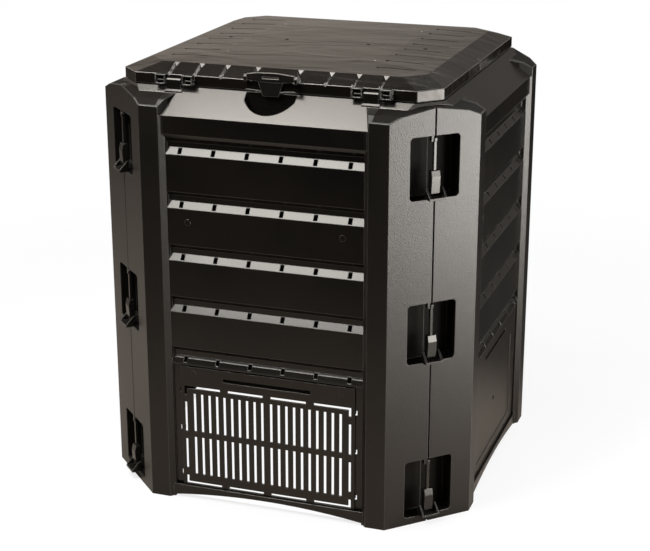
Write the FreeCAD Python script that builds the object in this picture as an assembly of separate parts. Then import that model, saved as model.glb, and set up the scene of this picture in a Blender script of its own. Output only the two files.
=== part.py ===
import FreeCAD, Part
import math
import os

from FreeCAD import Vector

# Compost bin with lid, in millimetres.
# The origin is under the centre of the bin, on the ground. +Z is up and the front wall faces -Y.
# Four moulded walls meet at slanted corners, a frame closes their top, and a lid hinges on the frame.
# "Depth" is how far a point lies behind the outer face of a wall's posts, towards the inside.

# Bin body
bin_width = 719.0
corner_cut = 127.3
wall_sheet = 3.0
seam_gap = 3.0
post_height = 760.0
post_width = 46.0
post_bevel = 9.0
cheek_depth = 28.0
arch_rise = 13.0
arch_foot = 4.0

# Corner caps: two slopes that rise from the post face towards the lid
cap_break_depth = 18.0
cap_break_rise = 10.0
cap_rise = 20.0
cap_inner_depth = 46.0
cap_lean = 17.0
cap_reach = 26.0

# Louvred field: flat boards, each bent inwards at its foot, over sloping ledges with vents
louvre_rows = 4
board_sheet = 4.0
field_top_drop = 16.0
first_ledge_drop = 64.8
board_depth = 9.0
band_depth = 17.4
ledge_back_depth = 18.0
ledge_height = 12.4
crease_rise = 18.5
crease_height = 8.4
top_board_depth = 4.0
top_bend_height = 6.9
vent_pitch = 64.0
vent_margin = 20.0
vent_width = 7.0
vent_height = 9.2

# Hatch opening at the foot of each wall
hatch_top = 268.0
hatch_side_room = 15.2
hatch_sheet = 3.0
hatch_front_depth = 10.7
hatch_gap = 0.5
groove_floor = 22.0
rail_sheet = 3.0
rail_front_depth = 6.0
rail_lip = 4.0
opening_overlap = 5.0
brow_gap = 4.0
brow_height = 9.4
brow_edge = 3.3
brow_fall = 2.5
hook_rises = (28.0, 120.0, 197.0)
hook_width = 4.0
hook_height = 6.0
hook_length = 7.0
hook_room = 2.0

# Grille of the front hatch, and the grip that every hatch has
slot_pitch = 15.0
slot_centre_gap = 17.6
slot_margin = 8.0
slot_width = 5.5
slot_height = 77.0
slot_row_gap = 11.0
slot_lift = 3.5
score_inset = 9.3
score_foot = 9.0
score_head = 41.0
score_width = 5.0
score_bridge = 15.0
score_corner = 15.0
grip_half_width = 86.0
grip_drop = 19.0
grip_opening = 8.0
grip_depth = 8.0

# Plain hatches of the other three walls
panel_inset = 33.0
panel_foot = 26.0
panel_head = 46.0
panel_recess = 1.4
panel_hole = 5.0
back_rib_spacing = 138.0
back_rib_height = 6.0

# Windows over the corner seams, with a pocket, a cradle and a latch in each
window_half_width = 49.0
window_height = 112.0
window_corner = 4.5
top_window_drop = 140.0
bottom_window_sill = 14.3
window_count = 3
pocket_depth = 30.0
cradle_half_width = 17.5
cradle_shelf = 4.0
cradle_reach = 15.0
cheek_sheet = 3.5
cheek_height = 20.0
cradle_lift = 0.6
strap_width = 5.0
strap_sheet = 5.0
block_width = 17.0
block_height = 39.0
block_sheet = 12.0
block_root = 2.0
block_nose_high = 11.7
block_nose = 3.0
block_toe = 2.0
latch_pin_radius = 1.8
latch_eye_half = 4.2
latch_drop = 6.0
latch_depth = 2.5
latch_foot_room = 10.0
pin_clearance = 0.3
lug_sheet = 5.0

# Top frame: a sloping shoulder on each side and a flat ledge for the lid
shoulder_front_depth = 3.5
shoulder_back_depth = 57.5
ledge_rise = 26.0
frame_sheet = 3.0
frame_opening_depth = 92.0
frame_opening_corner = 65.0
frame_skirt = 16.0
frame_corner_top = 21.0
frame_corner_foot = 67.5
cap_clearance = 0.4
bowl_half_width = 47.0
bowl_front_depth = 17.0
bowl_floor_drop = 15.0
bowl_shoulder = 14.0

# Lid: two moulded halves that meet on a seam across the middle
lid_inset = 58.8
lid_corner_cut = 37.3
lid_gap = 2.0
rim_height = 19.0
slope_run = 40.2
slope_rise = 15.0
lid_edge_corner_cut = 35.0
crown_inset = 110.5
crown_corner_cut = 22.0
crown_rise = 4.0
lid_sheet = 3.0
lid_seam_gap = 0.8
lid_rib_height = 10.0
lid_rib_sheet = 2.5
lid_rib_pitch = 90.0
snap_places = (-196.0, -80.0, 84.0, 196.0)
snap_half_width = 13.0
snap_reach = 18.0
snap_hole_width = 8.0
snap_hole_length = 6.0
snap_pin_clearance = 0.3
groove_rows = 4
groove_pitch = 58.0
groove_crown_gap = 12.0
groove_length = 70.0
groove_width = 3.6
groove_depth = 1.5
notch_places = (40.0, 98.0, 148.0, 197.0)
notch_width = 11.0
notch_depth = 7.0
notch_sheet = 1.8
notch_share = 0.75

# Clips at the front and rear edge of the lid, on short rods held by the frame
clip_place = 184.0
clip_axis_offset = 5.6
clip_axis_drop = 10.0
rod_radius = 2.4
rod_half_length = 38.0
rod_clearance = 0.35
knuckle_half_width = 13.5
knuckle_sheet = 2.2
knuckle_foot = 3.0
loop_offset = 26.0
loop_width = 20.0
loop_height = 18.0
loop_sheet = 2.5
loop_reach = 11.0
loop_proud = 1.0

# Handle at the middle of the front edge
handle_half_width = 44.0
handle_height = 17.0
handle_end_height = 10.6
handle_sheet = 6.0
handle_axis_rise = 7.5
handle_axis_offset = 6.5
handle_pin_radius = 2.0
handle_pin_length = 6.6
handle_bore_room = 1.0
handle_lug_sheet = 5.0
handle_lug_edge = 4.0
handle_lug_reach = 9.0
handle_slot_half_width = 15.0
handle_slot_height = 3.6
stem_root = 2.0
stem_top_half_width = 23.5
stem_foot_half_width = 14.5
stem_drop = 33.0
stem_sheet = 5.0
arm_lift = 4.0
arm_root = 3.0
arm_reach = 46.0
arm_height = 3.0
arm_sheet = 2.0
arm_rise = 4.0
arm_bow = 1.2
side_gap = 0.6

# Pieces that are fused reach into each other by this much
bite = 1.0

# Values that follow from the sizes above
half = bin_width / 2
flange_depth = pocket_depth + wall_sheet
post_outer = half - corner_cut
field_half_width = post_outer - post_width
field_top = post_height - field_top_drop
cap_top = post_height + cap_rise
ledge_level = post_height + ledge_rise
first_ledge = field_top - first_ledge_drop
hatch_ledge = hatch_top + brow_gap + brow_height
louvre_pitch = (first_ledge - hatch_ledge) / louvre_rows
vent_count = 1 + int(2 * (field_half_width - vent_margin) / vent_pitch)
top_window_sill = post_height - top_window_drop
window_step = (top_window_sill - bottom_window_sill) / (window_count - 1)
window_sills = [bottom_window_sill + window_step * step for step in range(window_count)]
strap_length = window_height - latch_drop - block_height - latch_foot_room
hatch_half_width = field_half_width - hatch_side_room
opening_half_width = hatch_half_width - opening_overlap
hatch_back_depth = hatch_front_depth + hatch_sheet
seat_depth = hatch_back_depth + hatch_gap
hatch_axis_depth = hatch_front_depth + hatch_sheet / 2
hatch_axis_height = groove_floor + hatch_sheet / 2
hook_heights = [groove_floor + rise for rise in hook_rises]
score_half_width = hatch_half_width - score_inset
score_bottom = groove_floor + score_foot
score_top = hatch_top - score_head
slot_columns = 1 + int((score_half_width - slot_margin - slot_centre_gap / 2) / slot_pitch)
slot_middle = (score_bottom + score_top) / 2 + slot_lift
slot_row_offset = (slot_height + slot_row_gap) / 2
grip_height = hatch_top - grip_drop
panel_half_width = hatch_half_width - panel_inset
panel_bottom = groove_floor + panel_foot
panel_top = hatch_top - panel_head
seam_place = half - corner_cut / 2
lid_half_width = half - lid_inset
lid_underside = ledge_level + lid_gap
rim_top = lid_underside + rim_height
lid_edge_half_width = lid_half_width - slope_run
lid_edge_height = rim_top + slope_rise
crown_half_width = lid_edge_half_width - crown_inset
lid_crown_height = lid_edge_height + crown_rise
groove_start = crown_half_width + groove_crown_gap
groove_end = groove_start + groove_length
clip_axis = lid_half_width + clip_axis_offset
clip_axis_height = rim_top - clip_axis_drop
handle_axis = lid_half_width + handle_axis_offset
handle_axis_height = rim_top + handle_axis_rise
stem_foot = handle_axis_height - stem_drop
tall = 2 * bin_width


def box(x_low, x_high, y_low, y_high, z_low, z_high):
    corner = Vector(x_low, y_low, z_low)
    return Part.makeBox(x_high - x_low, y_high - y_low, z_high - z_low, corner)


def prism(points, sweep):
    face = Part.Face(Part.makePolygon(points + points[:1]))
    return face.extrude(sweep)


def plan_prism(outline, z_low, z_high):
    points = [Vector(x, y, z_low) for x, y in outline]
    return prism(points, Vector(0, 0, z_high - z_low))


def side_prism(outline, x_low, x_high):
    """Sweep an outline of (depth, height) pairs along X, behind the front wall's face."""
    points = [Vector(x_low, depth - half, height) for depth, height in outline]
    return prism(points, Vector(x_high - x_low, 0, 0))


def rod(radius, x_low, x_high, y, z):
    return Part.makeCylinder(radius, x_high - x_low, Vector(x_low, y, z), Vector(1, 0, 0))


def flat_sided_rod(radius, x_low, x_high, y, z):
    """A moulded pin with eight flats."""
    points = []
    for flat in range(8):
        angle = math.radians(45 * flat + 22.5)
        points.append(Vector(x_low, y + radius * math.cos(angle), z + radius * math.sin(angle)))
    return prism(points, Vector(x_high - x_low, 0, 0))


def turned(shape, quarters):
    copy = shape.copy()
    copy.rotate(Vector(0, 0, 0), Vector(0, 0, 1), 90 * quarters)
    return copy


def mirrored(shape):
    return shape.mirror(Vector(0, 0, 0), Vector(1, 0, 0))


def fused(shapes):
    return shapes[0].multiFuse(shapes[1:]).removeSplitter()


def save(name, shape):
    shape.exportStep("parts/" + name + ".step")


def offset_path(points, distance):
    """Shift an open outline sideways by a distance, with mitred corners."""
    normals = []
    for start, end in zip(points, points[1:]):
        length = math.hypot(end[0] - start[0], end[1] - start[1])
        normals.append((-(end[1] - start[1]) / length, (end[0] - start[0]) / length))
    shifted = []
    for index, point in enumerate(points):
        before = normals[max(index - 1, 0)]
        after = normals[min(index, len(normals) - 1)]
        scale = distance / (1 + before[0] * after[0] + before[1] * after[1])
        shifted.append((point[0] + (before[0] + after[0]) * scale,
                        point[1] + (before[1] + after[1]) * scale))
    return shifted


def channel(path, thickness, z_low, z_high):
    """A folded upright sheet whose outer side follows a path in plan."""
    return plan_prism(path + offset_path(path, thickness)[::-1], z_low, z_high)


# Places at the front right corner: "along" runs from the seam to the right wall's post,
# "inward" runs from the slanted face towards the centre of the bin.

diagonal = math.sqrt(0.5)


def corner_point(along, inward):
    return (seam_place + (along - inward) * diagonal,
            -seam_place + (along + inward) * diagonal)


def at_corner(shape):
    """Move a shape made with X along the slanted face and Y inward to the front right corner."""
    shape.rotate(Vector(0, 0, 0), Vector(0, 0, 1), 45)
    shape.translate(Vector(seam_place, -seam_place, 0))
    return shape


def roof_outline(lift, floor):
    """Section of the cap surface as (depth, height) pairs, closed at a floor level."""
    return [(0, floor),
            (0, post_height + lift),
            (cap_break_depth, post_height + cap_break_rise + lift),
            (corner_cut / 2, cap_top + lift),
            (half, cap_top + lift),
            (half, floor)]


def column_plan():
    """Plan of the right-hand end of the front wall, from the field to the seam flange."""
    seam_outer = corner_point(-seam_gap / 2, 0)
    seam_inner = corner_point(-seam_gap / 2, flange_depth)
    return [(field_half_width, cheek_depth - half),
            (field_half_width, post_bevel - half),
            (field_half_width + post_bevel, -half),
            (post_outer, -half),
            seam_outer,
            seam_inner]


def cap_plan():
    """Plan of the cap over that end of the wall."""
    cap_front = field_half_width + post_bevel
    return [(cap_front - cap_lean, cap_inner_depth - half),
            (cap_front, -half),
            (post_outer, -half),
            corner_point(-seam_gap / 2, 0),
            corner_point(-seam_gap / 2, cap_reach),
            (post_outer, cap_inner_depth + cap_lean - half)]


def column():
    """Post, slanted wing and seam flange, closed at the top by the two-slope cap."""
    roof = side_prism(roof_outline(0, -wall_sheet), 0, half)
    under_roof = side_prism(roof_outline(-wall_sheet, -wall_sheet), 0, half)
    lower = channel(column_plan(), wall_sheet, 0, field_top)
    upper = channel(cap_plan()[:4] + column_plan()[5:], wall_sheet, field_top - wall_sheet, tall)
    cap = plan_prism(cap_plan(), field_top, tall).cut(under_roof)
    return fused([lower.common(roof), upper.common(roof), cap.common(roof)])


def pocket_box(sill, growth, side):
    """Half of a window pocket: from the seam outwards on one side of it."""
    reach = window_half_width + growth
    low, high = (0, reach) if side > 0 else (-reach, 0)
    front = 0 if growth else -wall_sheet
    shape = box(low, high, front, pocket_depth + growth, sill - growth, sill + window_height + growth)
    if growth:
        return shape
    outer_edges = [edge for edge in shape.Edges
                   if abs(edge.CenterOfMass.x - side * reach) < 0.01
                   and abs(edge.Vertexes[0].Point.z - edge.Vertexes[-1].Point.z) < 0.01
                   and abs(edge.CenterOfMass.y - (pocket_depth - wall_sheet) / 2) < 0.01]
    return shape.makeChamfer(window_corner, outer_edges)


def cradle(sill):
    """U-shaped catch on the window sill: a shelf and two triangular cheeks."""
    level = sill + cradle_lift
    shelf = box(-cradle_half_width, cradle_half_width, -cradle_reach, wall_sheet,
                level, level + cradle_shelf)
    root = box(seam_gap / 2, cradle_half_width, 0, wall_sheet, sill - wall_sheet, level + cradle_shelf)
    cheeks = []
    for low in (-cradle_half_width, cradle_half_width - cheek_sheet):
        points = [Vector(low, -cradle_reach, level + cradle_shelf),
                  Vector(low, wall_sheet, level + cradle_shelf),
                  Vector(low, wall_sheet, level + cheek_height),
                  Vector(low, 0, level + cheek_height)]
        cheeks.append(prism(points, Vector(cheek_sheet, 0, 0)))
    return fused([shelf, root] + cheeks)


def pin_lug(sill):
    """Lug with a short pin at the top of a window, on the side of the seam that holds the latch."""
    level = sill + window_height - latch_drop
    outer = -strap_width / 2 - side_gap
    lug = box(outer - lug_sheet, outer, 0, latch_depth + latch_eye_half,
              level - latch_eye_half, sill + window_height + wall_sheet)
    pin = flat_sided_rod(latch_pin_radius, outer - bite, strap_width / 2 + side_gap, latch_depth, level)
    return fused([lug, pin])


def latch(sill):
    """Strap with a hook open to the rear at its top and a block at its foot, hanging over the seam."""
    level = sill + window_height - latch_drop
    half_strap = strap_width / 2
    front, back = latch_depth - latch_eye_half, latch_depth + latch_eye_half
    head = prism([Vector(-half_strap, back, level - latch_eye_half),
                  Vector(-half_strap, back, level + latch_eye_half),
                  Vector(-half_strap, latch_depth, level + latch_eye_half),
                  Vector(-half_strap, front, level + latch_eye_half / 2),
                  Vector(-half_strap, front, level - latch_eye_half)], Vector(strap_width, 0, 0))
    strap = box(-half_strap, half_strap, latch_depth - strap_sheet / 2, latch_depth + strap_sheet / 2,
                level - strap_length, level)
    foot = level - strap_length - block_height
    top = level - strap_length + block_root
    nose = latch_depth - block_sheet / 2 - block_toe
    points = [Vector(-block_width / 2, nose + block_toe, foot),
              Vector(-block_width / 2, nose + block_sheet, foot),
              Vector(-block_width / 2, nose + block_sheet, top),
              Vector(-block_width / 2, nose + block_nose, top),
              Vector(-block_width / 2, nose, top - block_nose_high)]
    block = prism(points, Vector(block_width, 0, 0))
    room = latch_pin_radius + pin_clearance
    seat = rod(room, -half_strap, half_strap, latch_depth, level)
    mouth = box(-half_strap, half_strap, latch_depth, back, level - room, level + room)
    return fused([head, strap, block]).cut(seat.fuse(mouth))


def field_outlines():
    """Outer and inner outline of the louvred field, from its top edge to the ledge over the hatch."""
    top_bend = first_ledge + ledge_height / 2 + crease_rise + top_bend_height
    outer = [(top_board_depth, field_top), (top_board_depth, top_bend)]
    for row in range(louvre_rows + 1):
        ledge = first_ledge - row * louvre_pitch
        crease = ledge + ledge_height / 2 + crease_rise
        outer += [(board_depth, crease),
                  (band_depth, crease - crease_height),
                  (ledge_back_depth, ledge + ledge_height / 2)]
        if row < louvre_rows:
            outer.append((board_depth, ledge - ledge_height / 2))
    inner = [(depth + board_sheet, height) for depth, height in outer]
    return outer, inner


def field_plan():
    """Plan of the room between the posts, with a bite into them. Boards fill it up to the bevels."""
    front = field_half_width + post_bevel + bite
    back = field_half_width + bite
    return [(-front, -half),
            (front, -half),
            (back, post_bevel - half),
            (back, cheek_depth - half),
            (-back, cheek_depth - half),
            (-back, post_bevel - half)]


def field():
    """The louvred field with its rounded ledge over the hatch and the flange behind the hatch's top."""
    outer, inner = field_outlines()
    brow = hatch_top + brow_gap
    middle = (board_depth + ledge_back_depth) / 2
    outer += [(middle, hatch_ledge + brow_fall),
              (board_depth, brow + brow_edge),
              (board_depth, brow),
              (seat_depth, brow),
              (seat_depth, hatch_top - opening_overlap),
              (seat_depth + rail_sheet, hatch_top - opening_overlap)]
    inner += [(middle + rail_sheet, hatch_ledge),
              (board_depth + rail_sheet, brow + rail_sheet + bite),
              (board_depth + rail_sheet, brow + rail_sheet),
              (seat_depth + rail_sheet, brow + rail_sheet)]
    sheet = side_prism(outer + inner[::-1], -half, half).common(plan_prism(field_plan(), 0, tall))
    vents = []
    for row in range(louvre_rows + 1):
        ledge = first_ledge - row * louvre_pitch
        for column_index in range(vent_count):
            place = (column_index - (vent_count - 1) / 2) * vent_pitch
            vents.append(box(place - vent_width / 2, place + vent_width / 2, -half,
                             ledge_back_depth + board_sheet - half,
                             ledge - vent_height / 2, ledge + vent_height / 2))
    return sheet.cut(Part.Compound(vents))


def hatch_frame():
    """Flanges behind the hatch's edges and the grooved rail that its foot stands in."""
    flange = box(opening_half_width, field_half_width, seat_depth - half,
                 seat_depth + rail_sheet - half, 0, hatch_top + brow_gap)
    for height in hook_heights:
        flange = flange.cut(box(hatch_half_width - hook_width - hook_room,
                                hatch_half_width + hook_width, -half, 0,
                                height - hook_height / 2 - hook_room,
                                height + hook_height / 2 + hook_room))
    lip_top = groove_floor + rail_lip
    floor = groove_floor - rail_sheet
    rail_outline = [(rail_front_depth, 0),
                    (rail_front_depth, lip_top),
                    (rail_front_depth + rail_sheet, lip_top),
                    (rail_front_depth + rail_sheet, groove_floor),
                    (seat_depth, groove_floor),
                    (seat_depth, groove_floor + opening_overlap),
                    (seat_depth + rail_sheet, groove_floor + opening_overlap),
                    (seat_depth + rail_sheet, floor),
                    (rail_front_depth + rail_sheet, floor),
                    (rail_front_depth + rail_sheet, 0)]
    rail = side_prism(rail_outline, -half, half).common(plan_prism(field_plan(), 0, tall))
    return fused([rail, flange, mirrored(flange)])


def foot_arch():
    """The shallow arch under the foot of a wall."""
    span = field_half_width
    radius = (span ** 2 + arch_rise ** 2) / (2 * arch_rise)
    crown = arch_foot + arch_rise
    disc = Part.makeCylinder(radius, cheek_depth, Vector(0, -half, crown - radius), Vector(0, 1, 0))
    return disc.common(box(-span, span, -half, cheek_depth - half, -tall, crown))


def wall_shape():
    """One complete wall, in the place of the front wall. A tongue at its right end closes the seam."""
    end = column()
    right, left = end, mirrored(end)
    right_rooms = [pocket_box(sill, wall_sheet, -1) for sill in window_sills]
    left_rooms = [pocket_box(sill, wall_sheet, 1) for sill in window_sills]
    seam_cut_right = box(-seam_gap / 2, tall, -wall_sheet, tall, 0, tall)
    seam_cut_left = box(-tall, seam_gap / 2, -wall_sheet, tall, 0, tall)
    right_boxes = at_corner(Part.Compound(right_rooms).cut(seam_cut_right))
    left_boxes = turned(at_corner(Part.Compound(left_rooms).cut(seam_cut_left)), -1)
    right_holes = at_corner(Part.Compound([pocket_box(sill, 0, -1) for sill in window_sills]))
    left_holes = turned(at_corner(Part.Compound([pocket_box(sill, 0, 1) for sill in window_sills])), -1)
    right = fused([right] + right_boxes.Solids).cut(right_holes)
    left = fused([left] + left_boxes.Solids).cut(left_holes)
    lugs = [at_corner(pin_lug(sill)) for sill in window_sills]
    cradles = [turned(at_corner(cradle(sill)), -1) for sill in window_sills]
    tongue = at_corner(box(-seam_gap / 2, seam_gap / 2, pocket_depth, flange_depth, 0, cap_top - wall_sheet))
    shape = fused([field(), hatch_frame(), right, left, tongue] + lugs + cradles)
    return shape.cut(foot_arch())


def hatch_blank():
    """Hatch plate with a rounded foot, a grip recess and a hook at each side notch of the wall."""
    plate = box(-hatch_half_width, hatch_half_width, hatch_front_depth - half,
                hatch_back_depth - half, hatch_axis_height, hatch_top)
    foot = rod(hatch_sheet / 2, -hatch_half_width, hatch_half_width,
               hatch_axis_depth - half, hatch_axis_height)
    low, high = grip_height - grip_opening / 2, grip_height + grip_opening / 2
    grip_back = hatch_front_depth + grip_depth - half
    grip = box(-grip_half_width, grip_half_width, -half, grip_back, low, high)
    grip_wall = box(-grip_half_width - hatch_sheet, grip_half_width + hatch_sheet, hatch_front_depth - half,
                    grip_back + hatch_sheet, low - hatch_sheet, high + hatch_sheet)
    hooks = []
    for height in hook_heights:
        hook = box(hatch_half_width - hook_width, hatch_half_width, hatch_axis_depth - half,
                   hatch_back_depth + hook_length - half,
                   height - hook_height / 2, height + hook_height / 2)
        hooks += [hook, mirrored(hook)]
    return fused([plate, foot, grip_wall] + hooks).cut(grip)


def grille_cuts():
    """Two rows of upright slots inside a rectangle of dashes."""
    cuts = []
    for column_index in range(slot_columns):
        reach = slot_centre_gap / 2 + column_index * slot_pitch
        for place in (-reach, reach):
            for middle in (slot_middle - slot_row_offset, slot_middle + slot_row_offset):
                cuts.append((place - slot_width / 2, place + slot_width / 2,
                             middle - slot_height / 2, middle + slot_height / 2))
    edge = score_half_width
    thick = score_width / 2
    dash = (edge - 1.5 * score_bridge) / 2
    for level in (score_bottom, score_top):
        for side in (-1, 1):
            near = side * score_bridge / 2
            middle = near + side * dash
            far = middle + side * score_bridge
            cuts.append((min(near, middle), max(near, middle), level - thick, level + thick))
            cuts.append((min(far, side * (edge + thick)), max(far, side * (edge + thick)),
                         level - thick, level + thick))
    span = score_top - score_bottom - 2 * score_corner - 3 * score_bridge
    for side in (-edge, edge):
        level = score_bottom
        for length in (score_corner, span / 2, span / 2, score_corner):
            cuts.append((side - thick, side + thick, level, level + length))
            level += length + score_bridge
    return Part.Compound([box(left, right, -half, 0, low, high) for left, right, low, high in cuts])


def grille_hatch():
    return hatch_blank().cut(grille_cuts())


def plain_hatch():
    """Closed hatch: a shallow recess in front, a small hole, and stiffening ribs behind."""
    recess = box(-panel_half_width, panel_half_width, -half,
                 hatch_front_depth + panel_recess - half, panel_bottom, panel_top)
    middle = (panel_bottom + panel_top) / 2
    hole = Part.makeCylinder(panel_hole, half, Vector(0, -half, middle), Vector(0, 1, 0))
    ribs = []
    for place in (-back_rib_spacing / 2, back_rib_spacing / 2):
        ribs.append(box(place - hatch_sheet / 2, place + hatch_sheet / 2, hatch_axis_depth - half,
                        hatch_back_depth + back_rib_height - half, panel_bottom, panel_top))
    return fused([hatch_blank().cut(recess)] + ribs).cut(hole)


def octagon(reach, cut, level):
    corners = []
    for quarter in range(4):
        angle = math.radians(90 * quarter)
        for x, y in ((-reach + cut, -reach), (reach - cut, -reach)):
            corners.append(Vector(x * math.cos(angle) - y * math.sin(angle),
                                  x * math.sin(angle) + y * math.cos(angle), level))
    return corners


def flat_face(corners):
    return Part.Face(Part.makePolygon(corners + corners[:1]))


def stacked(levels):
    """A closed form with flat sides through octagons given as (half width, corner cut, height)."""
    rings = [octagon(*level) for level in levels]
    faces = [flat_face(rings[0]), flat_face(rings[-1])]
    for low, high in zip(rings, rings[1:]):
        for index in range(len(low)):
            after = (index + 1) % len(low)
            faces.append(flat_face([low[index], low[after], high[after], high[index]]))
    shell = Part.makeShell(faces)
    shell.sewShape()
    solid = Part.makeSolid(shell)
    if solid.Volume < 0:
        solid.reverse()
    return solid


def shoulder_height(depth):
    run = shoulder_back_depth - shoulder_front_depth
    return field_top + (ledge_level - field_top) * (depth - shoulder_front_depth) / run


def bowl_outline(growth):
    """Outline of the finger bowl in plan: straight sides and a round front."""
    back = shoulder_back_depth - half + growth
    front = bowl_front_depth - half - growth
    side = bowl_half_width + growth
    turn = shoulder_back_depth - bowl_shoulder - half
    left = Part.LineSegment(Vector(-side, back, 0), Vector(-side, turn, 0)).toShape()
    arc = Part.Arc(Vector(-side, turn, 0), Vector(0, front, 0), Vector(side, turn, 0)).toShape()
    right = Part.LineSegment(Vector(side, turn, 0), Vector(side, back, 0)).toShape()
    closing = Part.LineSegment(Vector(side, back, 0), Vector(-side, back, 0)).toShape()
    return Part.Face(Part.Wire([left, arc, right, closing]))


def bowl_solid(growth):
    floor = shoulder_height(bowl_front_depth) - bowl_floor_drop - growth
    shape = bowl_outline(growth)
    shape.translate(Vector(0, 0, floor))
    return shape.extrude(Vector(0, 0, tall))


def shoulder_octagons():
    foot = half - shoulder_front_depth
    head = half - shoulder_back_depth
    return [(foot, 2 * frame_corner_foot, field_top),
            (head, 2 * frame_corner_top, ledge_level)]


def frame_shell():
    """The shoulder on all four sides, the flat ledge and the skirt round the opening."""
    opening = half - frame_opening_depth
    outer = stacked(shoulder_octagons())
    inner = outer.copy()
    inner.translate(Vector(0, 0, -frame_sheet))
    skirt = stacked([(opening + frame_sheet, frame_opening_corner, ledge_level - frame_skirt),
                     (opening + frame_sheet, frame_opening_corner, ledge_level)])
    hole = stacked([(opening, frame_opening_corner, 0), (opening, frame_opening_corner, tall)])
    return outer.cut(inner).fuse(skirt).cut(hole)


def wall_room():
    """The space that the walls' caps take under the frame, at all four corners."""
    half_room = plan_prism(cap_plan(), 0, tall)
    grown = half_room.makeOffsetShape(cap_clearance, 0.01, False, False, 0, 2)
    roof = side_prism(roof_outline(0, -wall_sheet), 0, half)
    right = grown.common(roof)
    pair = [right, mirrored(right)]
    return [turned(shape, quarter) for shape in pair for quarter in range(4)]


def knuckle(place):
    """Bracket on the shoulder that holds the middle of a clip rod in a square hole."""
    low, high = place - knuckle_half_width, place + knuckle_half_width
    depth = half - clip_axis
    reach = rod_radius + knuckle_sheet
    front, back = depth - reach, depth + reach
    top = clip_axis_height + reach
    post = side_prism([(front, shoulder_height(front) - frame_sheet),
                       (front, top - knuckle_sheet),
                       (front + knuckle_sheet, top),
                       (back - knuckle_sheet, top),
                       (back, top - knuckle_sheet),
                       (back, shoulder_height(depth) - frame_sheet)], low, high)
    toe = front - knuckle_foot
    foot = side_prism([(toe, shoulder_height(toe) - frame_sheet),
                       (toe, shoulder_height(toe) + knuckle_foot),
                       (depth, shoulder_height(depth) + knuckle_foot),
                       (depth, shoulder_height(depth) - frame_sheet)],
                      low - knuckle_foot, high + knuckle_foot)
    hole = box(low, high, -clip_axis - rod_radius, -clip_axis + rod_radius,
               clip_axis_height - rod_radius, clip_axis_height + rod_radius)
    return fused([post, foot]).cut(hole)


def top_frame():
    shell = frame_shell()
    bowl = bowl_solid(frame_sheet).common(stacked(
        [shoulder_octagons()[0][:2] + (field_top - 2 * bowl_floor_drop,)] + shoulder_octagons()))
    shell = shell.fuse(bowl).cut(bowl_solid(0))
    knuckles = [knuckle(side * clip_place) for side in (-1, 1)]
    knuckles += [turned(shape, 2) for shape in knuckles]
    frame = fused([shell] + knuckles)
    for room in wall_room():
        frame = frame.cut(room)
    return frame.removeSplitter()


def clip_rods(quarters):
    rods = [rod(rod_radius, side * clip_place - rod_half_length, side * clip_place + rod_half_length,
                -clip_axis, clip_axis_height) for side in (-1, 1)]
    return turned(Part.Compound(rods), quarters)


def lid_levels(drop, inset):
    """Octagons of the lid's outside, or of its hollow when dropped and inset by the sheet."""
    rim_cut = lid_corner_cut - inset * (2 - math.sqrt(2))
    rim_level = rim_top - drop + inset * slope_rise / slope_run
    return [(lid_half_width - inset, rim_cut, lid_underside - drop),
            (lid_half_width - inset, rim_cut, rim_level),
            (lid_edge_half_width, lid_edge_corner_cut, lid_edge_height - drop),
            (crown_half_width, crown_corner_cut, lid_crown_height - drop)]


def lid_notches(growth):
    """V-shaped grooves that run down the front slope of the lid."""
    shapes = []
    for side in (-1, 1):
        for place in notch_places:
            wide = notch_width / 2 + growth
            start = -lid_edge_half_width - bite + growth
            points = [Vector(side * place - wide, start, lid_edge_height),
                      Vector(side * place, start, lid_edge_height - notch_depth - growth),
                      Vector(side * place + wide, start, lid_edge_height)]
            shapes.append(prism(points, Vector(0, -slope_run, -slope_rise * notch_share)))
    return shapes


def lid_blank():
    """The whole lid shell before it is divided along the seam."""
    outside = stacked(lid_levels(0, 0))
    hollow = stacked(lid_levels(lid_sheet, lid_sheet))
    shell = outside.cut(hollow)
    gutters = [shape.common(outside) for shape in lid_notches(notch_sheet)]
    cutters = lid_notches(0)
    gutters += [turned(shape, 2) for shape in gutters]
    cutters += [turned(shape, 2) for shape in cutters]
    shell = fused([shell] + gutters)
    lowered = outside.copy()
    lowered.translate(Vector(0, 0, -groove_depth))
    skin = outside.cut(lowered)
    grooves = []
    for row in range(groove_rows):
        place = (row + 0.5) * groove_pitch
        for middle in (-place, place):
            for low, high in ((-groove_end, -groove_start), (groove_start, groove_end)):
                grooves.append(box(low, high, middle - groove_width / 2, middle + groove_width / 2,
                                   lid_underside, tall).common(skin))
    return shell.cut(Part.Compound(cutters + grooves)), hollow


def lid_ribs(hollow):
    """Stiffening ribs under one half of the lid."""
    ribs = []
    level = lid_edge_height - lid_sheet - lid_rib_height
    side_ribs = int(lid_edge_half_width / lid_rib_pitch)
    for rib_index in range(-side_ribs, side_ribs + 1):
        place = rib_index * lid_rib_pitch
        ribs.append(box(place - lid_rib_sheet / 2, place + lid_rib_sheet / 2,
                        -lid_edge_half_width, -snap_reach - lid_rib_sheet, level, tall).common(hollow))
    return ribs


def clip_loop(place):
    """Square loop on the rim: two side arms that snap over the rod, joined at their outer ends."""
    low, high = place - loop_width / 2, place + loop_width / 2
    top = rim_top + loop_proud
    foot = top - loop_height
    front = -lid_half_width - loop_reach
    room = rod_radius + rod_clearance
    block = box(low, high, front, -lid_half_width + bite, foot, top)
    middle = box(low + loop_sheet, high - loop_sheet, front, -lid_half_width,
                 foot + loop_sheet, top - loop_sheet)
    under = box(low + loop_sheet, high - loop_sheet, front + loop_sheet, -lid_half_width,
                foot, top - loop_sheet)
    snap = box(low, high, -clip_axis - room, -clip_axis + room, foot, clip_axis_height + room)
    return block.cut(middle).cut(under).cut(snap)


def clip_loops():
    return [clip_loop(side * clip_place + offset)
            for side in (-1, 1) for offset in (-loop_offset, loop_offset)]


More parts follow.
